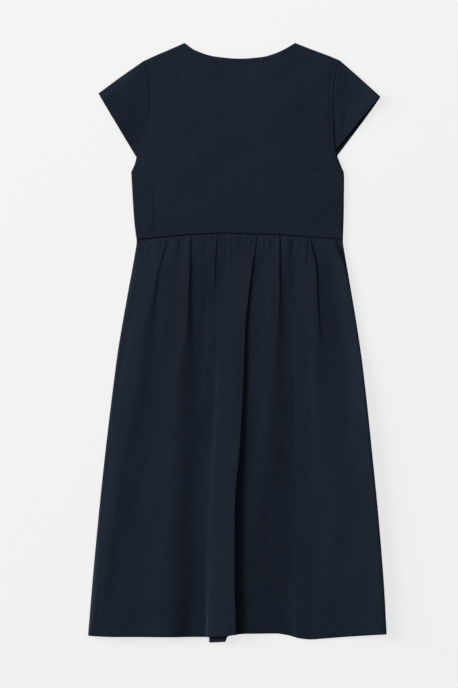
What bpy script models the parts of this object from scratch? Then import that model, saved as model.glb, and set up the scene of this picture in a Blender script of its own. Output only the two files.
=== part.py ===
"""A-line midi dress with cap sleeves and a gathered skirt, lying flat on its front.

Frame: the dress lies on z = 0 with its back uppermost. +Y runs from the hem towards
the neck, +X to the right of a viewer who looks down on it, +Z up. The origin is the
centre of the dress's bounding box, on the surface that it lies on.

Six pieces are cut and sewn: a back and a front bodice, two cap sleeves (each one piece
folded over at the overarm line), and a back and a front skirt panel. Each is a wall of
one cloth thickness through a sheet whose form is worked out from the tables below.
All sizes are in millimetres and are scaled to metres when a mesh is made.
"""

import bmesh
import bpy
import numpy as np

TO_M = 0.001

# ---------------------------------------------------------------- cloth and seams
WALL = 1.2            # thickness of the cloth with its seam allowances pressed flat
SEAM_GAP = 0.4        # space between the cut edges of two pieces at a flat seam
FRONT_Z = WALL / 2    # middle of the front pieces' wall, whose underside rests on z = 0
EDGE_Z = 3.0          # height of the side and shoulder seams, midway up the rolled edge
EDGE_GAP = 0.34       # space between the two pieces at such a rolled edge
EDGE_STAND = 0.6      # last stretch of each piece there, which stands upright
WAIST_Z = 4.0         # middle of the back bodice's wall at the waist seam
ARMHOLE_Z = 3.4       # the same at the armhole seams

# ---------------------------------------------------------------- bodice outline
WAIST_SEAM = (        # x, y: a shallow arch across the back
    (-205.2, 207.4), (-141.0, 214.4), (-78.0, 219.4), (-30.0, 221.0),
    (58.0, 219.2), (138.0, 214.4), (216.1, 208.4),
)
SIDE_SEAM = (         # y, x of the left seam, x of the right seam
    (209.0, -205.9, 216.9),
    (242.0, -210.2, 218.0),
    (271.0, -212.5, 218.7),
    (303.0, -214.5, 219.0),
    (324.0, -215.7, 219.3),
    (336.0, -216.3, 219.3),
    (348.0, -216.7, 218.4),
)
ARMHOLE = (           # y, x of the left seam, y, x of the right seam, from the underarm up
    (348.0, -216.7, 348.0, 218.4),
    (361.1, -210.7, 361.1, 212.6),
    (369.3, -207.8, 369.3, 209.4),
    (379.6, -205.6, 381.6, 205.0),
    (410.3, -195.0, 406.2, 201.5),
    (443.1, -184.9, 434.9, 198.8),
    (480.0, -179.3, 467.7, 197.8),
    (508.7, -178.6, 496.4, 197.6),
    (537.4, -180.6, 529.2, 199.8),
    (562.0, -185.4, 562.0, 205.2),
    (575.2, -191.9, 577.0, 209.6),
)
SLEEVE_END_ROW = 3    # the cap sleeves run out on the armhole at this row
ARMHOLE_POINTS = 11   # points that the bodice and each sleeve share along it
SHOULDER = (          # share of the way from the neck point out, bulge above the straight line
    (0.0, 0.0), (0.35, 0.0), (0.7, 0.5), (1.0, 0.0),
)
NECK_POINT_LEFT = (-107.8, 612.4)
NECK_POINT_RIGHT = (118.7, 612.4)
BACK_NECK = (         # share of the neck's width, depth below the neck points
    (0.0, 0.0), (0.095, 14.8), (0.276, 27.6), (0.5, 32.0), (0.70, 28.7), (0.81, 22.1),
    (0.905, 12.6), (1.0, 0.0),
)
FRONT_NECK_DEPTH = 88.0   # the front neckline, a plain round one, lies under the back

# ---------------------------------------------------------------- sleeves
SLEEVE = {            # overarm fold from the shoulder point to the tip, and the cuffs
    "sleeve_left": {
        "tip": (-283.4, 510.0), "overarm_bulge": 0.8, "upper_peek": 0.0, "lower_peek": 0.6,
        "rise": 2.6, "cuff_rise": 2.0,
    },
    "sleeve_right": {
        "tip": (292.8, 503.2), "overarm_bulge": 0.6, "upper_peek": -5.6, "lower_peek": 1.2,
        "rise": 3.4, "cuff_rise": 3.6,
    },
}
SLEEVE_POINT = 4.0    # blunt width of the sleeve where it runs out on the armhole

# ---------------------------------------------------------------- skirt outline
SKIRT_SIDES = (       # y, x of the left side seam, x of the right one
    (209.0, -205.9, 216.9),
    (168.0, -212.6, 223.6),
    (131.5, -219.2, 229.9),
    (57.7, -232.2, 242.1),
    (-16.1, -244.4, 253.3),
    (-89.9, -254.0, 262.4),
    (-237.5, -271.5, 277.8),
    (-385.1, -286.7, 292.0),
    (-532.7, -299.9, 302.9),
    (-602.0, -305.2, 306.0),
)
HEM = (               # x, y of the back panel's hem
    (-304.4, -600.0), (-250.0, -602.2), (-150.0, -602.4), (-60.0, -602.8),
    (-27.0, -601.2), (-3.0, -597.8), (20.0, -596.6), (78.0, -596.4), (103.0, -599.8),
    (128.0, -606.4), (150.0, -608.6), (172.0, -607.2), (232.0, -602.4), (304.6, -597.0),
)
FRONT_HEM_UP = 4.0    # the front panel's hem lies this far inside the back's
STUB_DROP = 12.0      # the main pleat's hidden layers hang this far below the hem,
STUB_WIDTH = 31.4     # over this width from their inner edge

# ---------------------------------------------------------------- folds of the back skirt
# One column for each level down the skirt, from the waist seam to the hem.
LEVELS = (215.0, 150.0, 60.0, -60.0, -200.0, -340.0, -600.0)
# A row for each line that runs down the panel: where it lies across the panel.
TRACK = {
    "fold_1": (-146.0, -160.0, -174.0, -188.0, -214.0, -235.0, -272.0),
    "fold_2": (-95.5, -96.6, -95.5, -98.0, -101.7, -108.0, -110.0),
    "fold_3": (-41.0, -45.0, -52.0, -56.0, -62.0, -68.0, -71.5),
    "pleat_inner": (32.4, 18.0, -10.0, -35.5, -45.5, -54.0, -58.0),
    "pleat_edge": (39.4, 31.2, 22.3, 16.2, 8.0, -2.0, -3.3),
    "fold_5": (88.0, 88.0, 88.0, 88.0, 84.0, 82.0, 80.0),
    "soft_ridge": (112.0, 114.0, 116.0, 119.0, 120.7, 121.0, 121.0),
    "fold_6": (156.0, 164.0, 170.0, 174.0, 178.0, 180.0, 180.0),
}
# Height of the cloth just left of each line, and just right of it.
LEFT_OF = {
    "fold_1": (4.9, 9.6, 10.7, 10.8, 10.8, 13.0, 13.4),
    "fold_2": (4.9, 9.0, 10.2, 11.2, 11.5, 14.8, 15.8),
    "fold_3": (4.6, 6.2, 5.8, 6.7, 6.9, 9.9, 8.0),
    "pleat_inner": (5.1, 6.6, 6.4, 6.5, 6.9, 10.3, 7.6),
    "fold_5": (4.8, 6.6, 6.4, 6.0, 6.0, 5.2, 4.8),
    "soft_ridge": (4.2, 4.8, 4.8, 4.2, 3.5, 3.2, 3.2),
    "fold_6": (4.8, 6.8, 6.6, 5.4, 5.3, 4.2, 4.0),
}
RIGHT_OF = {
    "fold_1": (4.3, 8.9, 9.4, 9.7, 9.7, 12.8, 14.1),
    "fold_2": (4.2, 7.4, 7.2, 7.3, 7.7, 10.3, 8.9),
    "fold_3": (3.6, 4.8, 5.7, 6.5, 6.9, 9.9, 7.8),
    "pleat_inner": (5.4, 7.4, 8.2, 8.4, 9.1, 11.8, 11.1),
    "fold_5": (3.2, 3.4, 3.6, 3.6, 3.3, 3.2, 3.2),
    "soft_ridge": (4.4, 5.2, 5.4, 4.4, 3.7, 3.4, 3.8),
    "fold_6": (3.4, 4.6, 4.8, 5.0, 6.0, 6.7, 4.4),
}
# Distance over which the cloth falls or rises at each line.
FALL = {
    "fold_1": (5.0, 6.0, 8.0, 20.0, 30.0, 30.0, 20.0),
    "fold_2": (5.0, 6.0, 7.0, 30.0, 48.0, 52.0, 50.0),
    "fold_3": (5.0, 5.0, 5.0, 5.0, 5.0, 5.0, 5.0),
    "pleat_inner": (3.0, 5.0, 7.0, 7.5, 7.5, 7.5, 7.5),
    "fold_5": (5.0, 6.0, 8.0, 22.0, 35.0, 40.0, 40.0),
    "soft_ridge": (5.0, 5.0, 5.0, 5.0, 6.0, 6.0, 6.0),
    "fold_6": (5.0, 6.0, 7.0, 12.0, 20.0, 20.0, 20.0),
}
PLEAT = {             # the overlapping pleat: top layer, the two bends and the floor
    "edge_height": (5.5, 8.0, 10.0, 11.4, 13.0, 15.9, 17.2),
    "edge_bend": (0.76, 1.5, 2.4, 3.0, 3.2, 3.2, 3.0),
    "inner_bend": (0.76, 1.1, 1.4, 1.4, 1.4, 1.4, 1.4),
    "floor": (2.3, 2.3, 2.4, 2.4, 2.4, 2.4, 2.4),
    "clear_of_edge": (3.0, 4.4, 4.2, 4.6, 5.6, 6.4, 6.4),
}
ROLL = {              # the rolled side edges: how high and how wide
    "left_height": (4.3, 7.6, 8.8, 8.8, 9.2, 11.6, 12.8),
    "left_width": (8.0, 20.0, 26.0, 28.0, 26.0, 20.0, 16.0),
    "right_height": (4.3, 7.0, 8.2, 9.8, 11.6, 12.2, 11.0),
    "right_width": (8.0, 20.0, 26.0, 28.0, 28.0, 26.0, 20.0),
}
FRONT_GATHERS = (     # x at the waist, how far it leans, rise, width, length
    (-168.0, -14.0, 1.2, 16.0, 120.0),
    (-122.0, -6.0, 1.0, 14.0, 90.0),
    (-70.0, -2.0, 1.2, 15.0, 140.0),
    (-14.0, 2.0, 0.9, 13.0, 80.0),
    (136.0, 8.0, 1.2, 15.0, 130.0),
    (182.0, 14.0, 1.0, 14.0, 95.0),
)
CLOTH_COLOUR = (0.0116, 0.0168, 0.0262, 1.0)


# ---------------------------------------------------------------- curves
def smooth(t):
    t = np.clip(t, 0.0, 1.0)
    return t * t * (3.0 - 2.0 * t)


def through(xs, ys, at):
    """A smooth curve through the points that never overshoots them (monotone cubic)."""
    xs, ys, at = np.asarray(xs, float), np.asarray(ys, float), np.asarray(at, float)
    if xs[0] > xs[-1]:
        xs, ys = xs[::-1], ys[::-1]
    step = np.diff(xs)
    slope = np.diff(ys) / step
    tangent = np.zeros(len(xs))
    tangent[0], tangent[-1] = slope[0], slope[-1]
    for k in range(1, len(xs) - 1):
        a, b = slope[k - 1], slope[k]
        if a * b > 0:
            tangent[k] = 2.0 * a * b / (a + b)
    k = np.clip(np.searchsorted(xs, at, side="right") - 1, 0, len(xs) - 2)
    t = np.clip((at - xs[k]) / step[k], 0.0, 1.0)
    t2, t3 = t * t, t * t * t
    return (
        (2 * t3 - 3 * t2 + 1) * ys[k]
        + (t3 - 2 * t2 + t) * step[k] * tangent[k]
        + (3 * t2 - 2 * t3) * ys[k + 1]
        + (t3 - t2) * step[k] * tangent[k + 1]
    )


def column(rows, k):
    return [row[k] for row in rows]


def spaced(xs, least):
    """The positions, each at least this far right of the one before."""
    out = [xs[0]]
    for x in xs[1:]:
        out.append(max(x, out[-1] + least))
    return np.array(out)


def waist_y(x):
    return through(column(WAIST_SEAM, 0), column(WAIST_SEAM, 1), x)


# ---------------------------------------------------------------- bodice
def side_line(side, y):
    """x of the bodice's outline at a height: the side seam, and the armhole above it."""
    k = 1 if side < 0 else 2
    a, b = (0, 1) if side < 0 else (2, 3)
    seam = through(column(SIDE_SEAM, 0), column(SIDE_SEAM, k), y)
    arm = through(column(ARMHOLE, a), column(ARMHOLE, b), y)
    return np.where(y <= 348.0, seam, arm)


def shoulder_point(side):
    a, b = (0, 1) if side < 0 else (2, 3)
    return np.array([ARMHOLE[-1][b], ARMHOLE[-1][a]], float)


def shoulder_line(side, shares):
    """Points from the neck point (share 0) to the shoulder point (share 1)."""
    start = np.array(NECK_POINT_LEFT if side < 0 else NECK_POINT_RIGHT, float)
    end = shoulder_point(side)
    line = start + np.outer(shares, end - start)
    line[:, 1] += through(column(SHOULDER, 0), column(SHOULDER, 1), shares)
    return line


def neck_line(shares, front):
    left, right = np.array(NECK_POINT_LEFT), np.array(NECK_POINT_RIGHT)
    if front:
        angle = np.pi * shares
        across = 0.5 - 0.5 * np.cos(angle)
        depth = FRONT_NECK_DEPTH * np.sin(angle)
    else:
        across = shares
        depth = through(column(BACK_NECK, 0), column(BACK_NECK, 1), shares)
    points = left + np.outer(across, right - left)
    points[:, 1] -= depth
    return points


def coons(bottom, top, left, right):
    """The sheet spanned by four border lines, as an array of rows of points."""
    u = np.linspace(0, 1, len(bottom))[None, :, None]
    v = np.linspace(0, 1, len(left))[:, None, None]
    return (
        (1 - v) * bottom[None]
        + v * top[None]
        + (1 - u) * left[:, None]
        + u * right[:, None]
        - (1 - u) * (1 - v) * bottom[0]
        - u * (1 - v) * bottom[-1]
        - (1 - u) * v * top[0]
        - u * v * top[-1]
    )


def armhole_rows(side):
    """Heights of the points along the armhole that the bodice and the sleeve share, from
    the shoulder point down to where the sleeve runs out."""
    a = 0 if side < 0 else 2
    return np.linspace(ARMHOLE[-1][a], ARMHOLE[SLEEVE_END_ROW][a], ARMHOLE_POINTS)


def bodice_sheet(front):
    """Rows of points for a bodice piece, from the waist seam up."""
    half, inset = WALL / 2, SEAM_GAP / 2

    def border(side):
        start = waist_y(-205.2 if side < 0 else 216.1) + inset
        arm = armhole_rows(side)[::-1]
        y = np.concatenate(
            [np.linspace(start, 326.0, 5), [348.0, (348.0 + arm[0]) / 2], arm]
        )
        x = side_line(side, y)
        # The wall stays inside the outline at the side seam, and clear of the sleeve above.
        keep = np.where(y < 348.0, half, inset)
        line = np.column_stack([x - side * keep, y])
        line[-1, 1] -= half
        return line

    left, right = border(-1), border(1)
    along = np.linspace(0, 1, 4)
    neck = np.linspace(0, 1, 12)[1:-1]
    top = np.concatenate(
        [
            shoulder_line(-1, 1 - along),
            neck_line(neck, front),
            shoulder_line(1, along),
        ]
    )
    top[:, 1] -= half
    top[0], top[-1] = left[-1], right[-1]
    x = np.linspace(left[0, 0], right[0, 0], len(top))
    bottom = np.column_stack([x, waist_y(x) + inset])
    left[0], right[0] = bottom[0], bottom[-1]
    grid = coons(bottom, top, left, right)
    return rolled(grid, front)


def insert_rolls(grid, width, low, high):
    """Adds three lines of points beside the first and the last column. low and high say how
    far each row is rolled there, from 0 to 1: a rolled edge starts with an upright stretch,
    whose points share one place in plan."""
    rolled_steps = np.array([0.0, 0.25, 1.0])   # shares of the roll's width
    plain_steps = np.array([0.33, 0.67, 1.0])

    def lines(edge, inner, amount):
        amount = np.asarray(amount, float) * np.ones(len(edge))
        span = np.linalg.norm(inner - edge, axis=1)
        for rolled_step, plain_step in zip(rolled_steps, plain_steps):
            step = amount * rolled_step + (1 - amount) * plain_step
            share = np.minimum(width * step / span, 0.9)[:, None]
            yield edge + (inner - edge) * share

    out = [grid[:, 0]]
    if low is not None:
        out += list(lines(grid[:, 0], grid[:, 1], low))
    out += [grid[:, k] for k in range(1, grid.shape[1] - 1)]
    if high is not None:
        out += list(lines(grid[:, -1], grid[:, -2], high))[::-1]
    out.append(grid[:, -1])
    return np.stack(out, axis=1)


ROLL_WIDTH = 3.0


def rolled(grid, front):
    """Gives a bodice sheet its heights: rolled at the side and shoulder seams, and soft
    dips at the waist seam and the armholes."""

    def sewn_sides(rim):
        """1 along the side seam, 0 along the armhole above it."""
        return 1.0 - smooth((rim[:, 1] - 326.0) / 20.0)

    def sewn_top(rim):
        """1 along the shoulder seams, 0 along the neckline between them."""
        share = (rim[:, 0] - NECK_POINT_LEFT[0]) / (
            NECK_POINT_RIGHT[0] - NECK_POINT_LEFT[0]
        )
        return 1.0 - smooth(np.minimum(share, 1 - share) / 0.09)

    grid = insert_rolls(
        grid, ROLL_WIDTH, sewn_sides(grid[:, 0]), sewn_sides(grid[:, -1])
    )
    grid = insert_rolls(
        grid.transpose(1, 0, 2), ROLL_WIDTH, None, sewn_top(grid[-1])
    ).transpose(1, 0, 2)
    rows, cols = grid.shape[:2]
    x, y = grid[..., 0], grid[..., 1]
    to_left = np.linalg.norm(grid - grid[:, :1], axis=2)
    to_right = np.linalg.norm(grid - grid[:, -1:], axis=2)
    to_top = np.linalg.norm(grid - grid[-1:], axis=2)
    to_waist = np.linalg.norm(grid - grid[:1], axis=2)
    sewn = sewn_sides(grid[:, 0])[:, None], sewn_sides(grid[:, -1])[:, None]
    shoulder_sewn = sewn_top(grid[-1])
    if front:
        z = np.full((rows, cols), FRONT_Z)
        end, stand = EDGE_Z - EDGE_GAP / 2, -EDGE_STAND
    else:
        sag = 2.2 * np.exp(-(((x - 6.0) / 95.0) ** 2) - ((y - 585.0) / 60.0) ** 2)
        z = 5.0 - sag
        z -= (z - WAIST_Z) * (1.0 - smooth(to_waist / 9.0))
        for to_edge, joined in ((to_left, sewn[0]), (to_right, sewn[1])):
            z -= (z - ARMHOLE_Z) * (1.0 - smooth(to_edge / 9.0)) * (1.0 - joined)
        end, stand = EDGE_Z + EDGE_GAP / 2, EDGE_STAND
    flat = z.copy()

    def roll(z, to_edge, weight, first_line, part=0.0):
        """Brings the heights down, or up, to the seam along a quarter of an ellipse. part is
        how far the two pieces have moved apart there, where their seam ends."""
        share = np.clip(to_edge / ROLL_WIDTH, 0.0, 1.0)
        lift = np.sqrt(1.0 - (1.0 - share) ** 2)
        low = end + np.sign(stand) * part
        curve = (low + stand) + (flat - low - stand) * lift
        curve = np.where(first_line, low, curve)
        return z + (curve - z) * weight * (to_edge <= ROLL_WIDTH)

    seam_end = 0.3 * smooth((y - 285.0) / 30.0)

    lines = np.zeros((rows, cols), bool)
    lines[:, 0] = True
    z = roll(z, to_left, sewn[0] * np.ones((1, cols)), lines, seam_end)
    lines = np.zeros((rows, cols), bool)
    lines[:, -1] = True
    z = roll(z, to_right, sewn[1] * np.ones((1, cols)), lines, seam_end)
    lines = np.zeros((rows, cols), bool)
    lines[-1] = True
    z = roll(z, to_top, np.ones((rows, 1)) * shoulder_sewn[None, :], lines)
    return np.dstack([x, y, z])


# ---------------------------------------------------------------- sleeves
def sleeve_sheet(name):
    """A cap sleeve, one piece folded over: rows from its lower end round to its upper end,
    columns from the armhole to the cuff."""
    size = SLEEVE[name]
    side = -1 if name == "sleeve_left" else 1
    across, down = np.linspace(0, 1, 8), np.linspace(0, 1, ARMHOLE_POINTS)
    tip = np.array(size["tip"], float)
    top = shoulder_point(side)
    inset = SEAM_GAP / 2
    fold = top + np.outer(across, tip - top)
    fold[:, 1] += size["overarm_bulge"] * np.sin(np.pi * across)
    fold[:, 0] += side * inset * (1 - across)
    fold[:, 1] -= WALL / 2
    y = armhole_rows(side)
    arm = np.column_stack([side_line(side, y) + side * inset, y])
    arm[0] = fold[0]
    end = arm[-1] + np.array([side * 0.55, 0.83]) * SLEEVE_POINT

    def layer(peek):
        reach = (
            np.array([side * 0.86, -0.5]) * peek * np.clip(4 * down[:, None], 0, 1)
        )
        cuff = fold[-1] + np.outer(down, end - fold[-1]) + reach * (1 - 0.5 * down[:, None])
        last = np.linspace(0, 1, len(across))[:, None]
        point = arm[-1] * (1 - last) + cuff[-1] * last
        return coons(fold, point, arm, cuff)

    upper, lower = layer(size["upper_peek"]), layer(size["lower_peek"])
    pieces = []
    for sheet, is_lower in ((upper, False), (lower, True)):
        grid = insert_rolls(
            sheet.transpose(1, 0, 2), ROLL_WIDTH, 1.0, None
        ).transpose(1, 0, 2)
        to_fold = np.linalg.norm(grid - grid[:1], axis=2)
        to_arm = np.linalg.norm(grid - grid[:, :1], axis=2)
        share = np.clip(to_fold / ROLL_WIDTH, 0, 1)
        lift = np.sqrt(1.0 - (1.0 - share) ** 2)
        if is_lower:
            z = EDGE_Z - EDGE_STAND + (FRONT_Z - EDGE_Z + EDGE_STAND) * lift
        else:
            out = smooth(to_arm / 40.0)
            body = ARMHOLE_Z + (
                (5.0 - ARMHOLE_Z) * smooth(to_arm / 9.0)
                + size["rise"] * out * smooth(to_fold / 60.0)
                + size["cuff_rise"] * smooth(to_arm / 90.0) * smooth(to_fold / 30.0)
            ) * (1.0 - smooth((to_fold - 110.0) / 40.0) * 0.85)
            near_arm = 5.0 + (ARMHOLE_Z - 5.0) * (1 - smooth(to_arm / 9.0)) * smooth(
                to_fold / 8.0
            )
            body = np.where(to_fold < 8.0, np.maximum(body, near_arm), body)
            z = EDGE_Z + EDGE_STAND + (body - EDGE_Z - EDGE_STAND) * lift
        z[0] = EDGE_Z
        pieces.append(np.dstack([grid[..., 0], grid[..., 1], z]))
    return np.concatenate([pieces[1][::-1], pieces[0][1:]])


# ---------------------------------------------------------------- skirt
def level(values, y, early=False):
    """A table's value at a height. Heights of folds grow faster just below the waist."""
    if early and y > LEVELS[1]:
        share = (LEVELS[0] - y) / (LEVELS[0] - LEVELS[1])
        y = LEVELS[0] - (LEVELS[0] - LEVELS[1]) * max(share, 0.0) ** 0.6
    return float(through(LEVELS, values, y))


def hem_y(x):
    return through(column(HEM, 0), column(HEM, 1), x)


def skirt_y(x, y):
    """Bends a level line so that the first is the waist seam and the last is the hem."""
    down = (LEVELS[0] - y) / (LEVELS[0] - LEVELS[-1])
    at_waist = waist_y(x) - SEAM_GAP / 2 - LEVELS[0]
    at_hem = hem_y(x) - LEVELS[-1]
    return y + at_waist * (1 - down) ** 3 + at_hem * down**8


def side_x(side, y):
    return through(
        column(SKIRT_SIDES, 0), column(SKIRT_SIDES, 1 if side < 0 else 2), y
    )


def between(nodes, counts):
    """Positions that pass through each node, with this many steps in each interval."""
    out = [np.array([nodes[0]])]
    for a, b, n in zip(nodes[:-1], nodes[1:], counts):
        out.append(a + (b - a) * np.arange(1, n + 1) / n)
    return np.concatenate(out)


def roll_profile(x, z, edge, width, end, stand):
    """Heights near a rolled edge, from the seam up a quarter of an ellipse."""
    share = np.clip(np.abs(x - edge) / width, 0.0, 1.0)
    lift = np.sqrt(1.0 - (1.0 - share) ** 2)
    return (end + stand) + (z - end - stand) * lift


ROLL_STEPS = (0.0, 0.035, 0.14, 0.42, 1.0)


def back_section(y, counts):
    """The back skirt's section at a height: x and z of its points, from the left side seam
    to the right one, going back under itself at the overlapping pleat."""
    half = WALL / 2
    left, right = side_x(-1, y) + half, side_x(1, y) - half
    at = {name: level(values, y) for name, values in TRACK.items()}
    lo = {name: level(values, y, True) for name, values in RIGHT_OF.items()}
    hi = {name: level(values, y, True) for name, values in LEFT_OF.items()}
    fall = {name: level(values, y) for name, values in FALL.items()}
    pleat = {name: level(values, y, True) for name, values in PLEAT.items()}
    roll = {name: level(values, y, True) for name, values in ROLL.items()}
    end, stand = EDGE_Z + EDGE_GAP / 2, EDGE_STAND
    bend, inner = pleat["edge_bend"], pleat["inner_bend"]

    # top layer, left of the pleat's edge
    nodes, heights = [left, left + roll["left_width"]], [roll["left_height"]] * 2
    for name in ("fold_1", "fold_2", "fold_3", "pleat_inner"):
        shift = -2.2 if name == "pleat_inner" else 0.0
        nodes += [at[name] + shift - fall[name] / 2, at[name] + shift + fall[name] / 2]
        heights += [hi[name], lo[name]]
    nodes.append(at["pleat_edge"] - bend)
    heights.append(pleat["edge_height"])
    nodes = spaced(nodes, 2.0)
    top_x = between(nodes[1:], counts["top"])
    top_z = through(nodes, heights, top_x)
    roll_x = left + (nodes[1] - left) * np.array(ROLL_STEPS[:-1])
    roll_z = roll_profile(
        roll_x, through(nodes, heights, roll_x), left, nodes[1] - left, end, stand
    )
    xs = [np.array([left]), roll_x, top_x]
    zs = [np.array([end]), roll_z, top_z]

    # round the pleat's edge, back to its inner edge, and round that
    turn = np.pi * np.arange(1, counts["bend"]) / counts["bend"]
    edge_x, inner_x = at["pleat_edge"], at["pleat_inner"]
    xs.append(edge_x - bend + bend * np.sin(turn))
    zs.append(pleat["edge_height"] - bend + bend * np.cos(turn))
    start = (edge_x - bend, pleat["edge_height"] - 2 * bend)
    stop = (inner_x + inner, pleat["floor"] + 2 * inner)
    share = np.linspace(0, 1, counts["return"] + 1)
    xs.append(start[0] + (stop[0] - start[0]) * share)
    zs.append(start[1] + (stop[1] - start[1]) * smooth(share * 1.15))
    xs.append(inner_x + inner - inner * np.sin(turn))
    zs.append(pleat["floor"] + inner + inner * np.cos(turn))

    # floor of the pleat and the rest of the panel
    nodes = [inner_x + inner, inner_x + STUB_WIDTH, inner_x + STUB_WIDTH + 1.2]
    nodes += [edge_x + 4.0, edge_x + 26.0]
    heights = [pleat["floor"]] * 3 + [pleat["floor"] + 0.2, pleat["clear_of_edge"]]
    for name in ("fold_5", "soft_ridge", "fold_6"):
        nodes += [at[name] - fall[name] / 2, at[name] + fall[name] / 2]
        heights += [hi[name], lo[name]]
    nodes += [right - roll["right_width"], right]
    heights += [roll["right_height"]] * 2
    low = spaced(nodes[:-1], 2.0 if y < 150 else 1.2)
    low = np.append(np.minimum(low, right - 6.0), right)
    low_x = between(low[:-1], counts["low"])
    low_z = through(low, heights, low_x)
    roll_x = right - (right - low[-2]) * np.array(ROLL_STEPS[:-1])[::-1]
    roll_z = roll_profile(
        roll_x, through(low, heights, roll_x), right, right - low[-2], end, stand
    )
    xs += [low_x, roll_x, np.array([right])]
    zs += [low_z, roll_z, np.array([end])]
    return np.concatenate(xs), np.concatenate(zs)


COUNTS = {            # steps between the lines of the section above
    "top": (1, 2, 2, 2, 2, 1, 1, 2, 3),
    "bend": 4,
    "return": 3,
    "low": (1, 1, 1, 1, 2, 2, 1, 1, 1, 2, 1),
}
SKIRT_ROWS = (        # distance below the waist seam
    0, 5, 12, 22, 36, 55, 78, 105, 135, 170, 210, 255, 300, 350, 400, 455, 510, 565,
    620, 670, 720, 760, 790, 806, 815,
)


def skirt_back_sheet():
    rows = []
    for down in SKIRT_ROWS:
        y = LEVELS[0] - down
        x, z = back_section(y, COUNTS)
        rows.append(np.column_stack([x, skirt_y(x, y), z]))
    grid = np.stack(rows)
    # the pleat's hidden layers hang below the hem
    first = 1 + len(ROLL_STEPS) - 1 + 1 + sum(COUNTS["top"])
    under = first + COUNTS["bend"] - 1
    returned = under + COUNTS["return"] + 1
    stop = returned + COUNTS["bend"] - 1 + 2
    share = smooth((np.array(SKIRT_ROWS) - 700.0) / 115.0)[:, None]
    inner = grid[:, returned - 1, 0][:, None]
    hidden = np.zeros(grid.shape[1])
    hidden[under + 1 : stop] = 1.0
    near_inner = grid[..., 0] - inner <= STUB_WIDTH + 0.1
    grid[..., 1] -= STUB_DROP * share * hidden * near_inner
    return grid


def skirt_front_sheet():
    """The front panel lies flat on the surface, with soft gathers below the waist."""
    half = WALL / 2
    end, stand = EDGE_Z - EDGE_GAP / 2, -EDGE_STAND
    share = np.linspace(0, 1, 21)[1:-1]
    rows = []
    for down in SKIRT_ROWS[::2]:
        y = LEVELS[0] - down
        left, right = side_x(-1, y) + half, side_x(1, y) - half
        x = left + (right - left) * share
        z = np.full(len(x), FRONT_Z)
        for at, lean, rise, width, length in FRONT_GATHERS:
            t = down / length
            if t < 1.0:
                centre = at + lean * t
                z += rise * np.exp(-(((x - centre) / width) ** 2)) * np.sin(np.pi * t) ** 2
        steps = np.array([0.0, 0.13, 0.5, 1.0]) * ROLL_WIDTH
        lift = np.sqrt(1.0 - (1.0 - steps / ROLL_WIDTH) ** 2)
        up = (end + stand) + (FRONT_Z - end - stand) * lift
        x = np.concatenate([[left], left + steps, x, right - steps[::-1], [right]])
        z = np.concatenate([[end], up, z, up[::-1], [end]])
        shorter = FRONT_HEM_UP * (down / 815.0) ** 8 * smooth(
            np.minimum(x - left, right - x) / 60.0
        )
        flat_hem = -600.0
        at_waist = waist_y(x) - SEAM_GAP / 2 - LEVELS[0]
        share_down = down / 815.0
        at_hem = (
            (1 - smooth(np.minimum(x - left, right - x) / 40.0)) * (hem_y(x) - flat_hem)
        )
        yy = y + at_waist * (1 - share_down) ** 3 + at_hem * share_down**8 + shorter
        rows.append(np.column_stack([x, yy, z]))
    return np.stack(rows)


# ---------------------------------------------------------------- scene
def clear_scene():
    for obj in list(bpy.data.objects):
        bpy.data.objects.remove(obj, do_unlink=True)


def cloth(name):
    material = bpy.data.materials.new(name)
    material.use_nodes = True
    shader = material.node_tree.nodes["Principled BSDF"]
    shader.inputs["Base Color"].default_value = CLOTH_COLOUR
    shader.inputs["Roughness"].default_value = 0.88
    shader.inputs["Metallic"].default_value = 0.0
    return material


def sheet_object(name, grid, collection, parent):
    """A piece of cloth: a grid bent to the sheet's points, given its wall by Solidify."""
    rows, cols = grid.shape[:2]
    shape = bmesh.new()
    bmesh.ops.create_grid(shape, x_segments=cols - 1, y_segments=rows - 1, size=1.0)
    for vert in shape.verts:
        i = round((vert.co.x + 1) / 2 * (cols - 1))
        j = round((vert.co.y + 1) / 2 * (rows - 1))
        vert.co = grid[j, i] * TO_M
    mesh = bpy.data.meshes.new(name)
    shape.to_mesh(mesh)
    shape.free()
    mesh.materials.append(cloth(name))
    mesh.shade_smooth()
    mesh.set_sharp_from_angle(angle=0.9)
    obj = bpy.data.objects.new(name, mesh)
    collection.objects.link(obj)
    obj.parent = parent
    wall = obj.modifiers.new("wall", "SOLIDIFY")
    wall.thickness = WALL * TO_M
    wall.offset = 0.0
    return obj


def main():
    clear_scene()
    collection = bpy.data.collections.new("a_line_dress")
    bpy.context.scene.collection.children.link(collection)
    frame = bpy.data.objects.new("dress_frame", None)
    collection.objects.link(frame)
    sheet_object("bodice_back", bodice_sheet(front=False), collection, frame)
    sheet_object("bodice_front", bodice_sheet(front=True), collection, frame)
    sheet_object("sleeve_left", sleeve_sheet("sleeve_left"), collection, frame)
    sheet_object("sleeve_right", sleeve_sheet("sleeve_right"), collection, frame)
    sheet_object("skirt_back", skirt_back_sheet(), collection, frame)
    sheet_object("skirt_front", skirt_front_sheet(), collection, frame)


main()
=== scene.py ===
"""The looks of the a-line dress: every piece of cloth as a thin closed shell with its seams,
gathers and folds, a woven navy material, a pale floor, soft light and the camera.

Sizes are in millimetres, in the part's own frame, and become metres when a mesh is made.
The dress lies on z = 0 on its front, +Y towards the neck and +X to the viewer's right.
"""

import math

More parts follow.
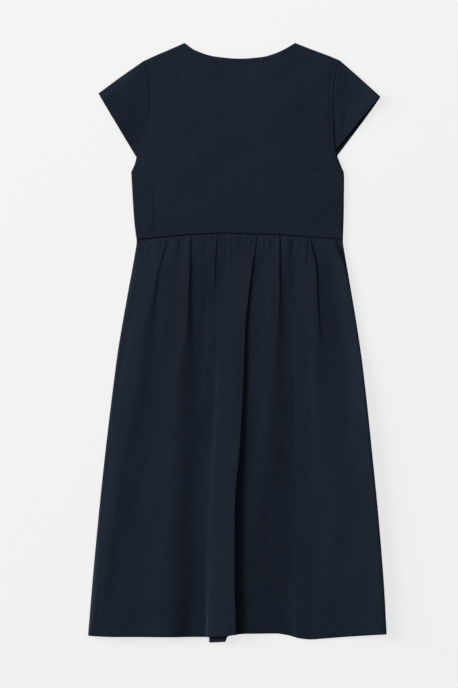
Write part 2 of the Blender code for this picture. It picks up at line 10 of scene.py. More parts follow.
import bpy
import numpy as np
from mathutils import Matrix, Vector


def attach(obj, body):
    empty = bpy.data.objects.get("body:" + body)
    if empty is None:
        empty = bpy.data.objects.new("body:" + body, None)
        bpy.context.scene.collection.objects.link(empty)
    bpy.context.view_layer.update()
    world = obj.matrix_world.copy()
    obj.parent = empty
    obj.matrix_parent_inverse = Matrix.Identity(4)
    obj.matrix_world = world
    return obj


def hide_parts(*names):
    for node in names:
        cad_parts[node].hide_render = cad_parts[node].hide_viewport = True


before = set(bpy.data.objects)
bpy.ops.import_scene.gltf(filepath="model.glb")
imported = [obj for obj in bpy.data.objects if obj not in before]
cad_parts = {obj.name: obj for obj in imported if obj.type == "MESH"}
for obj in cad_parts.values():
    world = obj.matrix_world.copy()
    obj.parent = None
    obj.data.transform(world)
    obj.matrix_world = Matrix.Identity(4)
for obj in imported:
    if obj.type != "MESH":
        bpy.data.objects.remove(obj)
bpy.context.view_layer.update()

TO_M = 0.001
WALL = 0.9            # cloth thickness that shows
HEM_WALL = 1.5        # the same where the hem is turned up
EDGE_Z = 3.0          # height of the side and shoulder seams, midway up the rolled edge
EDGE_GAP = 0.24       # space between the two pieces at a rolled edge
EDGE_STAND = 0.5
SEAM_GAP = 0.16       # space between the pieces at a flat seam

# ---------------------------------------------------------------- outlines, as in the part
WAIST_SEAM = (
    (-205.2, 207.4), (-141.0, 214.4), (-78.0, 219.4), (-30.0, 221.0),
    (58.0, 219.2), (138.0, 214.4), (216.1, 208.4),
)
SIDE_SEAM = (
    (209.0, -205.9, 216.9),
    (242.0, -210.2, 218.0),
    (271.0, -212.5, 218.7),
    (303.0, -214.5, 219.0),
    (324.0, -215.7, 219.3),
    (336.0, -216.3, 219.3),
    (348.0, -216.7, 218.4),
)
ARMHOLE = (
    (348.0, -216.7, 348.0, 218.4),
    (361.1, -210.7, 361.1, 212.6),
    (369.3, -207.8, 369.3, 209.4),
    (379.6, -205.6, 381.6, 205.0),
    (410.3, -195.0, 406.2, 201.5),
    (443.1, -184.9, 434.9, 198.8),
    (480.0, -179.3, 467.7, 197.8),
    (508.7, -178.6, 496.4, 197.6),
    (537.4, -180.6, 529.2, 199.8),
    (562.0, -185.4, 562.0, 205.2),
    (575.2, -191.9, 577.0, 209.6),
)
SLEEVE_END_ROW = 3
SHOULDER = ((0.0, 0.0), (0.35, 0.0), (0.7, 0.5), (1.0, 0.0))
NECK_POINT_LEFT = (-107.8, 612.4)
NECK_POINT_RIGHT = (118.7, 612.4)
BACK_NECK = (
    (0.0, 0.0), (0.095, 14.8), (0.276, 27.6), (0.5, 32.0), (0.70, 28.7), (0.81, 22.1),
    (0.905, 12.6), (1.0, 0.0),
)
FRONT_NECK_DEPTH = 88.0
SLEEVE = {
    "sleeve_left": {
        "tip": (-283.4, 510.0), "overarm_bulge": 0.8, "point": (-1.7, 1.6),
        "shorter": 0.0, "bow": (0.0, -0.6), "over": 0.5, "groove": 0.1, "rise": (1.9, 60.0),
        "lift": 2.2, "reach": 60.0, "tip_lift": 0.0, "tip_reach": 40.0,
    },
    "sleeve_right": {
        "tip": (292.8, 503.2), "overarm_bulge": 0.6, "point": (1.6, 2.7),
        "shorter": 13.0, "bow": (0.5, -1.4), "over": 0.0, "groove": 0.9, "rise": (-1.3, 34.0),
        "lift": 2.0, "reach": 40.0, "tip_lift": 3.4, "tip_reach": 46.0,
    },
}
SKIRT_SIDES = (
    (209.0, -205.9, 216.9),
    (168.0, -212.6, 223.6),
    (131.5, -219.2, 229.9),
    (57.7, -232.2, 242.1),
    (-16.1, -244.4, 253.3),
    (-89.9, -254.0, 262.4),
    (-237.5, -271.5, 277.8),
    (-385.1, -286.7, 292.0),
    (-532.7, -299.9, 302.9),
    (-602.0, -305.2, 306.0),
)
HEM = (
    (-304.4, -600.0), (-250.0, -602.2), (-150.0, -602.4), (-60.0, -602.8),
    (-27.0, -601.2), (-3.0, -597.8), (20.0, -596.6), (78.0, -596.4), (103.0, -599.8),
    (128.0, -606.4), (150.0, -608.6), (172.0, -607.2), (232.0, -602.4), (304.6, -597.0),
)
FRONT_HEM_UP = 4.0
STUB_DROP = 12.0
STUB_WIDTH = 31.4
TOP, BOTTOM = 215.0, -600.0

# ---------------------------------------------------------------- folds of the back skirt
# One column for each level down the skirt. A fold or ridge is a line that runs down the
# panel: where it lies, how wide its fall is, and the cloth's height left and right of it.
# Between two of them a bay has one or two heights of its own, a third of the way apart.
LEVELS = (215.0, 185.0, 150.0, 100.0, 30.0, -60.0, -200.0, -340.0, -470.0, -600.0)
TRACK = {
    "fold_1": (-142.0, -149.5, -159.3, -167.0, -175.5, -184.5, -212.0, -245.0, -256.6, -264.7),
    "fold_2": (-95.5, -96.0, -95.4, -96.6, -97.0, -100.7, -102.6, -108.5, -111.0, -117.0),
    "fold_3": (-40.2, -42.8, -44.7, -45.0, -53.3, -59.3, -61.8, -65.2, -68.5, -71.0),
    "ridge": (-18.0, -19.8, -21.6, -31.6, -38.6, -40.5, -47.6, -53.8, -57.8, -62.8),
    "pleat_edge": (42.0, 36.8, 31.1, 24.9, 17.9, 14.7, 8.1, -2.8, -3.5, -0.8),
    "fold_5": (87.0, 87.5, 87.4, 87.8, 87.5, 86.8, 83.0, 91.0, 87.2, 83.0),
    "soft_ridge": (118.0, 118.0, 114.6, 113.5, 114.2, 118.0, 119.1, 124.6, 121.9, 120.7),
    "fold_6": (149.0, 157.2, 163.8, 165.6, 169.6, 181.0, 185.0, 185.9, 184.2, 186.3),
}
WIDTH = {
    "fold_1": (3.2, 3.5, 6.4, 9.0, 20.2, 29.8, 28.2, 5.0, 25.7, 17.7),
    "fold_2": (2.6, 2.3, 4.7, 8.0, 15.5, 34.5, 44.9, 52.0, 51.0, 50.0),
    "fold_3": (2.4, 2.2, 2.2, 2.2, 6.9, 5.3, 4.4, 7.1, 3.2, 6.6),
    "ridge": (4.0, 4.5, 5.3, 5.3, 6.9, 10.7, 12.7, 7.5, 7.5, 5.2),
    "fold_5": (2.6, 2.2, 2.2, 2.3, 11.2, 27.1, 44.5, 51.2, 48.6, 47.9),
    "soft_ridge": (4.0, 4.5, 4.5, 6.1, 6.7, 4.6, 8.9, 14.0, 9.5, 8.6),
    "fold_6": (3.4, 4.2, 4.6, 4.8, 6.7, 29.8, 26.6, 30.0, 23.5, 18.5),
    "left_roll": (7.0, 13.0, 21.6, 13.7, 11.0, 9.0, 6.4, 5.2, 14.5, 5.0),
    "right_roll": (4.0, 3.5, 3.4, 2.6, 2.2, 2.0, 2.0, 2.0, 2.0, 2.4),
}
UPPER = {              # heights of the cloth that lies left of the pleat's edge
    "left_crest": (5.3, 5.5, 8.0, 7.2, 6.6, 6.6, 6.7, 9.3, 12.1, 12.6),
    "left_bay": (6.6, 7.0, 9.2, 9.0, 9.4, 9.5, 9.5, 11.9, 12.5, 12.9),
    "fold_1_left": (7.3, 7.7, 10.3, 10.7, 10.8, 10.8, 10.8, 13.0, 12.8, 13.4),
    "fold_1_right": (6.4, 6.7, 9.3, 9.4, 9.4, 9.7, 9.7, 12.8, 12.0, 14.1),
    "bay_1_a": (7.3, 7.7, 9.4, 9.5, 9.8, 9.8, 9.7, 11.6, 12.6, 12.9),
    "bay_1_b": (6.7, 7.1, 9.1, 9.7, 9.9, 10.3, 10.6, 12.9, 13.7, 13.7),
    "fold_2_left": (7.6, 8.1, 9.7, 10.1, 10.4, 11.2, 11.5, 14.8, 15.7, 15.8),
    "fold_2_right": (6.2, 6.5, 7.5, 7.5, 6.9, 7.3, 7.7, 10.3, 9.3, 8.9),
    "bay_2_a": (6.1, 6.4, 7.3, 6.9, 6.3, 6.9, 7.4, 10.2, 9.1, 8.6),
    "bay_2_b": (5.4, 5.7, 6.3, 6.1, 5.8, 6.7, 7.1, 10.0, 9.0, 8.3),
    "fold_3_left": (5.4, 5.7, 5.7, 5.5, 6.1, 6.7, 6.9, 9.9, 8.8, 8.0),
    "fold_3_right": (4.5, 4.7, 4.8, 5.2, 6.1, 6.5, 6.9, 9.9, 8.7, 7.8),
    "ridge_left": (4.3, 4.5, 4.0, 5.1, 6.0, 6.5, 6.9, 10.3, 9.2, 7.6),
    "ridge_right": (4.6, 4.8, 4.3, 5.2, 6.4, 8.0, 9.1, 11.8, 11.1, 11.1),
    "pleat_bay": (5.1, 5.3, 5.1, 6.0, 7.5, 9.0, 11.3, 13.9, 14.7, 15.5),
    "pleat_edge": (5.1, 5.3, 6.1, 7.1, 8.5, 9.4, 12.4, 15.9, 16.8, 17.2),
}
LOWER = {              # and of the cloth that comes out from under it
    "cave": (4.0, 4.1, 3.6, 4.0, 4.0, 3.9, 4.6, 6.2, 7.6, 8.4),
    "valley_a": (4.5, 4.5, 3.6, 4.1, 4.8, 5.1, 5.8, 5.6, 6.6, 6.6),
    "valley_b": (4.4, 4.4, 4.2, 4.2, 4.5, 4.8, 5.7, 6.6, 6.3, 6.4),
    "valley_c": (4.8, 5.0, 4.8, 5.3, 5.0, 5.1, 6.1, 6.4, 5.5, 5.5),
    "fold_5_left": (5.5, 5.7, 5.4, 5.7, 5.4, 5.8, 6.3, 4.9, 4.5, 4.7),
    "fold_5_right": (4.1, 4.2, 3.5, 4.4, 3.4, 2.6, 2.3, 1.8, 1.8, 1.8),
    "bay_5": (4.5, 4.7, 3.4, 2.9, 2.3, 2.1, 2.1, 1.8, 1.8, 2.0),
    "soft_ridge_left": (3.4, 3.4, 2.7, 2.5, 2.0, 1.8, 1.8, 1.8, 1.9, 2.5),
    "soft_ridge_right": (3.7, 3.8, 2.4, 2.2, 2.5, 2.2, 2.0, 1.9, 1.8, 3.4),
    "bay_6": (4.4, 4.8, 3.6, 3.7, 3.3, 2.8, 2.9, 2.4, 1.9, 3.7),
    "fold_6_left": (4.9, 5.6, 5.2, 5.1, 4.9, 4.6, 5.3, 3.9, 3.0, 3.9),
    "fold_6_right": (3.4, 3.6, 3.1, 3.3, 3.4, 4.1, 6.0, 6.7, 4.5, 3.8),
    "right_bay": (4.2, 4.4, 2.8, 2.0, 2.0, 4.6, 8.0, 9.0, 8.2, 6.6),
    "right_crest": (5.4, 5.6, 6.7, 6.7, 7.0, 10.8, 13.6, 14.2, 14.2, 13.0),
}
PLEAT = {
    "edge_bend": (0.7, 0.75, 0.85, 1.1, 1.6, 2.0, 2.8, 2.9, 2.9, 2.7),
    "inner_bend": (0.65, 0.7, 0.8, 1.0, 1.2, 1.3, 1.3, 1.3, 1.3, 1.3),
    "inner_at": (32.4, 27.0, 18.0, 5.0, -14.0, -35.5, -45.5, -52.0, -55.0, -57.0),
    "floor": (2.3, 2.3, 2.3, 2.4, 2.5, 2.6, 2.6, 2.6, 2.6, 2.5),
}
SEAM_SQUASH = 0.50    # heights at the waist seam, as a share of the tables' above SQUASH_Z
SQUASH_Z = 2.2
SWELL = 14.0           # and the distance over which the gathers swell to full height

# Gathers and short creases: x and y of the upper end, x and y of the lower end, depth,
# and the width of each side. The cloth left of the line lies over the cloth right of it.
GATHERS = (
    (-191.0, 209.0, -197.0, 176.0, 1.00, 9.0, 7.0),
    (-178.0, 211.0, -185.0, 160.0, 0.88, 9.0, 8.0),
    (-157.0, 213.0, -158.5, 186.0, 1.12, 7.0, 7.0),
    (-118.5, 217.0, -120.5, 176.0, 1.00, 9.0, 8.0),
    (-67.5, 220.5, -71.0, 160.0, 0.62, 9.0, 9.0),
    (-53.0, 221.0, -54.0, 196.0, 0.75, 6.0, 6.0),
    (-22.5, 221.5, -23.0, 180.0, 1.12, 8.0, 7.0),
    (-10.5, 221.5, -12.5, 150.0, 0.75, 8.0, 8.0),
    (5.0, 221.0, 1.5, 178.0, 1.12, 8.0, 7.0),
    (21.0, 221.0, 18.0, 190.0, 0.75, 6.0, 6.0),
    (56.0, 219.0, 55.0, 190.0, 1.00, 7.0, 7.0),
    (68.0, 219.0, 67.0, 168.0, 0.75, 8.0, 8.0),
    (109.5, 217.0, 111.0, 168.0, 0.75, 8.0, 7.0),
    (125.5, 216.0, 126.5, 190.0, 1.25, 6.0, 6.0),
    (144.5, 215.0, 141.0, 142.0, 1.25, 9.0, 8.0),
    (181.0, 212.0, 186.0, 176.0, 0.88, 8.0, 8.0),
)
SIDE_FOLD_DEPTH = 3.4
SIDE_FOLD = (          # the fold that runs out at the right side seam: y, x
    (214.0, 200.2), (207.4, 202.8), (184.8, 211.2), (164.3, 219.3), (140.0, 229.0),
)
LOW_CREASES = (        # soft lines lower down, same columns; a negative depth lifts the right
    (-61.7, 99.0, -61.7, 18.0, -0.28, 7.0, 7.0),
    (-20.0, 60.0, -24.0, -60.0, -0.2, 14.0, 14.0),
)
MICRO_GATHERS = 58     # fine ripples at the waist seam, shared out along it


# ---------------------------------------------------------------- curves
def smooth(t):
    t = np.clip(t, 0.0, 1.0)
    return t * t * (3.0 - 2.0 * t)


def through(xs, ys, at):
    """A smooth curve through the points that never overshoots them (monotone cubic)."""
    xs, ys, at = np.asarray(xs, float), np.asarray(ys, float), np.asarray(at, float)
    if xs[0] > xs[-1]:
        xs, ys = xs[::-1], ys[::-1]
    step = np.diff(xs)
    slope = np.diff(ys) / step
    tangent = np.zeros(len(xs))
    tangent[0], tangent[-1] = slope[0], slope[-1]
    for k in range(1, len(xs) - 1):
        a, b = slope[k - 1], slope[k]
        if a * b > 0:
            tangent[k] = 2.0 * a * b / (a + b)
    k = np.clip(np.searchsorted(xs, at, side="right") - 1, 0, len(xs) - 2)
    t = np.clip((at - xs[k]) / step[k], 0.0, 1.0)
    t2, t3 = t * t, t * t * t
    return (
        (2 * t3 - 3 * t2 + 1) * ys[k]
        + (t3 - 2 * t2 + t) * step[k] * tangent[k]
        + (3 * t2 - 2 * t3) * ys[k + 1]
        + (t3 - t2) * step[k] * tangent[k + 1]
    )


def column(rows, k):
    return [row[k] for row in rows]


def spaced(xs, least):
    out = [xs[0]]
    for x in xs[1:]:
        out.append(max(x, out[-1] + least))
    return np.array(out)


def between(nodes, counts):
    """Positions that pass through each node, with this many steps in each interval."""
    out = [np.array([nodes[0]])]
    for a, b, n in zip(nodes[:-1], nodes[1:], counts):
        out.append(a + (b - a) * np.arange(1, n + 1) / n)
    return np.concatenate(out)


EDGE_LADDER = np.array(
    [
        0.0, 0.06, 0.18, 0.4, 0.75, 1.2, 1.8, 2.5, 3.2, 3.8, 4.3, 4.8, 5.4, 6.0, 6.6, 7.3,
        8.2, 9.4, 11.4,
    ]
)


def laddered(length, middle, low=True, high=True):
    """Shares of a length from 0 to 1, close together at its ends."""
    a = EDGE_LADDER if low else np.array([0.0])
    b = length - EDGE_LADDER[::-1] if high else np.array([length])
    inner = np.linspace(a[-1], b[0], middle + 1)[1:-1]
    return np.concatenate([a, inner, b]) / length


def undulation(x, y, seed, size, amount, count=9):
    """A soft unevenness: a sum of long waves in seeded directions."""
    rng = np.random.RandomState(seed)
    out = np.zeros_like(x, dtype=float)
    for _ in range(count):
        angle, phase = rng.uniform(0, 2 * math.pi, 2)
        wave = 2 * math.pi / (size * rng.uniform(0.7, 1.6))
        out += np.sin(wave * (x * math.cos(angle) + y * math.sin(angle)) + phase)
    return out * amount / math.sqrt(count)


def overlap_line(x, y, path_y, path_x, depth, left, right, crisp, fade):
    """Relief of a fold where the cloth left of a line lies over the cloth right of it."""
    low, high = min(path_y), max(path_y)
    centre = through(path_y, path_x, np.clip(y, low, high))
    lean = (path_x[-1] - path_x[0]) / (path_y[-1] - path_y[0])
    s = (x - centre) / math.sqrt(1 + lean * lean)
    width = np.where(s < 0, left, right)
    t = (high - y) / (high - low)
    window = smooth(t / 0.06 + 1.0) * (1.0 - smooth((t - fade) / (1.0 - fade)))
    return -0.5 * depth * np.tanh(s / crisp) * np.exp(-((s / width) ** 2)) * window


# ---------------------------------------------------------------- meshes
def shell(name, grid, material, wall=WALL, cloth=None):
    """A closed thin shell about a sheet of points (rows x columns), with rounded rims.
    cloth is where each point lies in the flat cut; the weave follows it."""
    rows, cols = grid.shape[:2]
    du = np.gradient(grid, axis=1)
    dv = np.gradient(grid, axis=0)
    normal = np.cross(du, dv)
    length = np.linalg.norm(normal, axis=2, keepdims=True)
    normal = normal / np.maximum(length, 1e-12)
    half = np.broadcast_to(np.asarray(wall, float) / 2, (rows, cols))[..., None]
    above, below = grid + normal * half, grid - normal * half

    ring = (
        [(0, j) for j in range(cols - 1)]
        + [(i, cols - 1) for i in range(rows - 1)]
        + [(rows - 1, j) for j in range(cols - 1, 0, -1)]
        + [(i, 0) for i in range(rows - 1, 0, -1)]
    )
    ri, rj = np.array(ring).T
    border = grid[ri, rj]
    along = np.roll(border, -1, axis=0) - np.roll(border, 1, axis=0)
    outward = np.cross(along, normal[ri, rj])
    outward /= np.maximum(np.linalg.norm(outward, axis=1, keepdims=True), 1e-12)
    rim = border + outward * half[ri, rj] * 0.9

    count = rows * cols
    points = np.concatenate([above.reshape(-1, 3), below.reshape(-1, 3), rim])
    index = np.arange(count).reshape(rows, cols)
    quads = np.stack(
        [index[:-1, :-1], index[:-1, 1:], index[1:, 1:], index[1:, :-1]], axis=-1
    ).reshape(-1, 4)
    top_ring = index[ri, rj]
    rim_ring = 2 * count + np.arange(len(ring))
    nxt = np.roll(np.arange(len(ring)), -1)
    upper = np.stack([top_ring, rim_ring, rim_ring[nxt], top_ring[nxt]], axis=-1)
    low_ring = top_ring + count
    lower = np.stack([rim_ring, low_ring, low_ring[nxt], rim_ring[nxt]], axis=-1)
    faces = np.concatenate([quads, quads[:, ::-1] + count, upper, lower])

    mesh = bpy.data.meshes.new(name)
    mesh.vertices.add(len(points))
    mesh.vertices.foreach_set("co", (points * TO_M).astype(np.float32).ravel())
    mesh.loops.add(faces.size)
    mesh.loops.foreach_set("vertex_index", faces.astype(np.int32).ravel())
    mesh.polygons.add(len(faces))
    mesh.polygons.foreach_set("loop_start", np.arange(0, faces.size, 4, dtype=np.int32))
    mesh.update(calc_edges=True)
    mesh.validate()
    mesh.shade_smooth()
    cloth = grid[..., :2] if cloth is None else cloth
    flat = cloth.reshape(-1, 2)
    flat = np.concatenate([flat, flat, cloth[ri, rj]]) * TO_M
    place = mesh.attributes.new("cloth_place", "FLOAT_VECTOR", "POINT")
    place.data.foreach_set(
        "vector", np.column_stack([flat, np.zeros(len(flat))]).astype(np.float32).ravel()
    )
    mesh.materials.append(material)
    obj = bpy.data.objects.new(name, mesh)
    bpy.context.scene.collection.objects.link(obj)
    return obj


def cut_size(grid):
    """Width, length and area of the flat cut that a sheet of points stands for, in metres."""
    widths = np.linalg.norm(np.diff(grid, axis=1), axis=2).sum(axis=1)
    lengths = np.linalg.norm(np.diff(grid, axis=0), axis=2).sum(axis=0)
    du = grid[:-1, 1:] - grid[:-1, :-1]
    dv = grid[1:, :-1] - grid[:-1, :-1]
    du2 = grid[1:, 1:] - grid[1:, :-1]
    dv2 = grid[1:, 1:] - grid[:-1, 1:]
    area = (
        np.linalg.norm(np.cross(du, dv), axis=2).sum()
        + np.linalg.norm(np.cross(du2, dv2), axis=2).sum()
    ) / 2
    return widths.max() * TO_M, lengths.max() * TO_M, area * TO_M * TO_M


# ---------------------------------------------------------------- bodice
def waist_y(x):
    return through(column(WAIST_SEAM, 0), column(WAIST_SEAM, 1), x)


def side_line(side, y):
    k = 1 if side < 0 else 2
    a, b = (0, 1) if side < 0 else (2, 3)
    seam = through(column(SIDE_SEAM, 0), column(SIDE_SEAM, k), y)
    arm = through(column(ARMHOLE, a), column(ARMHOLE, b), y)
    return np.where(y <= 348.0, seam, arm)


def shoulder_point(side):
    a, b = (0, 1) if side < 0 else (2, 3)
    return np.array([ARMHOLE[-1][b], ARMHOLE[-1][a]], float)


def shoulder_line(side, shares):
    start = np.array(NECK_POINT_LEFT if side < 0 else NECK_POINT_RIGHT, float)
    end = shoulder_point(side)
    line = start + np.outer(shares, end - start)
    line[:, 1] += through(column(SHOULDER, 0), column(SHOULDER, 1), shares)
    return line


def neck_line(shares, front):
    left, right = np.array(NECK_POINT_LEFT), np.array(NECK_POINT_RIGHT)
    if front:
        across = 0.5 - 0.5 * np.cos(np.pi * shares)
        depth = FRONT_NECK_DEPTH * np.sin(np.pi * shares)
    else:
        across = shares
        depth = through(column(BACK_NECK, 0), column(BACK_NECK, 1), shares)
    points = left + np.outer(across, right - left)
    points[:, 1] -= depth
    return points


def coons(bottom, top, left, right, u, v):
    u, v = u[None, :, None], v[:, None, None]
    return (
        (1 - v) * bottom[None]
        + v * top[None]
        + (1 - u) * left[:, None]
        + u * right[:, None]
        - (1 - u) * (1 - v) * bottom[0]
        - u * (1 - v) * bottom[-1]
        - (1 - u) * v * top[0]
        - u * v * top[-1]
    )


ROLL_WIDTH = 4.2
SEAM_Z = 4.5          # the armhole seams' height


def bodice_sheet(front):
    """Rows of points for a bodice piece, from the waist seam up."""
    half, inset = WALL / 2, SEAM_GAP / 2
    rows_v = laddered(390.0, 84 if front else 118)
    shoulder, neck = (14, 34) if front else (24, 84)

    def border(side):
        start = waist_y(-205.2 if side < 0 else 216.1) + inset
        y = start + (shoulder_point(side)[1] - start) * rows_v
        x = side_line(side, y)
        keep = half + (inset - half) * smooth((y - 342.0) / 6.0)
        line = np.column_stack([x - side * keep, y])
        line[-1, 1] -= half
        return line

    left, right = border(-1), border(1)
    low = laddered(85.0, shoulder, True, False)
    middle = np.linspace(0, 1, neck + 1)
    top = np.concatenate(
        [
            shoulder_line(-1, 1 - low),
            neck_line(middle[1:-1], front),
            shoulder_line(1, 1 - low[::-1]),
        ]
    )
    u = np.concatenate(
        [0.21 * low, 0.21 + 0.57 * middle[1:-1], 1.0 - 0.22 * low[::-1]]
    )
    top[:, 1] -= half
    top[0], top[-1] = left[-1], right[-1]
    x = left[0, 0] + (right[0, 0] - left[0, 0]) * u
    bottom = np.column_stack([x, waist_y(x) + inset])
    left[0], right[0] = bottom[0], bottom[-1]
    return coons(bottom, top, left, right, u, rows_v)


def sewn_sides(rim):
    return 1.0 - smooth((rim[:, 1] - 326.0) / 20.0)


def sewn_top(rim):
    share = (rim[:, 0] - NECK_POINT_LEFT[0]) / (NECK_POINT_RIGHT[0] - NECK_POINT_LEFT[0])
    return 1.0 - smooth(np.minimum(share, 1 - share) / 0.05)


def rounded(distance, width):
    """0 at a rolled edge, 1 from this far inside it, along a quarter of an ellipse."""
    share = np.clip(distance / width, 0.0, 1.0)
    return np.sqrt(1.0 - (1.0 - share) ** 2)


def bodice_heights(grid, front):
    x, y = grid[..., 0], grid[..., 1]
    to_left = np.linalg.norm(grid - grid[:, :1], axis=2)
    to_right = np.linalg.norm(grid - grid[:, -1:], axis=2)
    to_top = np.linalg.norm(grid - grid[-1:], axis=2)
    to_waist = np.linalg.norm(grid - grid[:1], axis=2)
    sewn = sewn_sides(grid[:, 0])[:, None], sewn_sides(grid[:, -1])[:, None]
    shoulder_sewn = sewn_top(grid[-1])[None, :]
    if front:
        z = WALL / 2 + 0.0 * x
        end, stand = EDGE_Z - EDGE_GAP / 2, -EDGE_STAND
    else:
        # The piece is a little fuller towards the right shoulder, and sags below the neck.
        z = 5.0 - 0.9 * np.exp(-(((x - 6.0) / 95.0) ** 2) - ((y - 585.0) / 60.0) ** 2)
        z += 1.6 * np.exp(-(((x - 92.0) / 70.0) ** 2) - ((y - 470.0) / 90.0) ** 2)
        z += 0.9 * np.exp(-(((x + 120.0) / 70.0) ** 2) - ((y - 330.0) / 90.0) ** 2)
        z += 0.8 * np.exp(-(((x - 60.0) / 90.0) ** 2) - ((y - 290.0) / 70.0) ** 2)
        inner = smooth(np.minimum(np.minimum(to_left, to_right), to_waist) / 40.0)
        z += undulation(x, y, 11, 95.0, 0.30) * inner
        z += undulation(x, y, 12, 38.0, 0.07) * inner
        z += bodice_creases(x, y)
        # Seam allowances lie pressed up from the waist and make the edge a little thicker.
        z += 0.25 * (1 - smooth((to_waist - 9.0) / 3.0))
        z -= (z - 4.8) * (1.0 - smooth(to_waist / 16.0)) * 0.6
        z -= (z - 2.5) * (1.0 - smooth(to_waist / 4.0))
        # The left sleeve lies a little over the bodice at its seam; the bodice lies a
        # little over the right one, and more so at the underarm.
        open_left, open_right = 1.0 - sewn[0], 1.0 - sewn[1]
        z -= (z - SEAM_Z) * (1.0 - smooth(to_left / 30.0)) * open_left
        high = smooth((y - 436.0) / 50.0)
        z -= 0.25 * np.exp(-((to_left / 0.7) ** 2)) * open_left * high
        z -= (z - SEAM_Z - 0.35) * (1.0 - smooth(to_right / 14.0)) * open_right
        drop = 0.35 + 1.2 * smooth((452.0 - y) / 40.0)
        z -= drop * (1.0 - smooth(to_right / 3.4)) * open_right
        z -= 0.15 * np.exp(-((to_right / 0.7) ** 2)) * open_right
        pressed = 0.42 * np.exp(-(((to_right - 8.4) / 1.1) ** 2)) * smooth((y - 428.0) / 40.0)
        z -= pressed * open_right
        # The neckline's turned edge, with its row of stitches 4.4 mm inside.
        neck = (1.0 - shoulder_sewn) * np.ones_like(z)
        z += neck * 0.55 * np.exp(-(((to_top - 2.3) / 1.1) ** 2))
        z += neck * 0.5 * np.exp(-(((to_top - 6.4) / 1.2) ** 2))
        z -= neck * 1.2 * (1.0 - rounded(to_top, 1.6))
        end, stand = EDGE_Z + EDGE_GAP / 2, EDGE_STAND
    flat = z.copy()

    def roll(z, to_edge, weight):
        low = end + stand
        curve = low + (flat - low) * rounded(to_edge, ROLL_WIDTH)
        curve = curve - stand * (1.0 - smooth(to_edge / 0.35))
        return z + (curve - z) * weight * (to_edge <= ROLL_WIDTH)

    z = roll(z, to_left, sewn[0])
    z = roll(z, to_right, sewn[1])
    z = roll(z, to_top, shoulder_sewn)
    return z


def bodice_creases(x, y):
    """A pressed-in line at the left, and soft drag lines towards the underarms."""
    fade = smooth((y - 218.0) / 20.0) * (1 - smooth((y - 300.0) / 40.0))
    out = -0.42 * np.exp(-(((x + 168.5) / 2.3) ** 2)) * fade
    out += 0.22 * np.exp(-(((x + 178.0) / 6.0) ** 2)) * fade
    for cx, cy, angle, length, width, depth in (
        (150.0, 372.0, 24.0, 34.0, 5.0, 0.32),
        (164.0, 346.0, 12.0, 30.0, 5.0, 0.24),
        (-150.0, 388.0, -22.0, 34.0, 6.0, 0.26),
        (-128.0, 300.0, -8.0, 46.0, 9.0, 0.18),
        (30.0, 262.0, 4.0, 60.0, 10.0, 0.20),
        (96.0, 300.0, 16.0, 52.0, 9.0, 0.16),
    ):
        a = math.radians(angle)
        s = (x - cx) * math.cos(a) + (y - cy) * math.sin(a)
        t = -(x - cx) * math.sin(a) + (y - cy) * math.cos(a)
        out -= depth * np.exp(-((s / length) ** 2) - (t / width) ** 2)
    return out


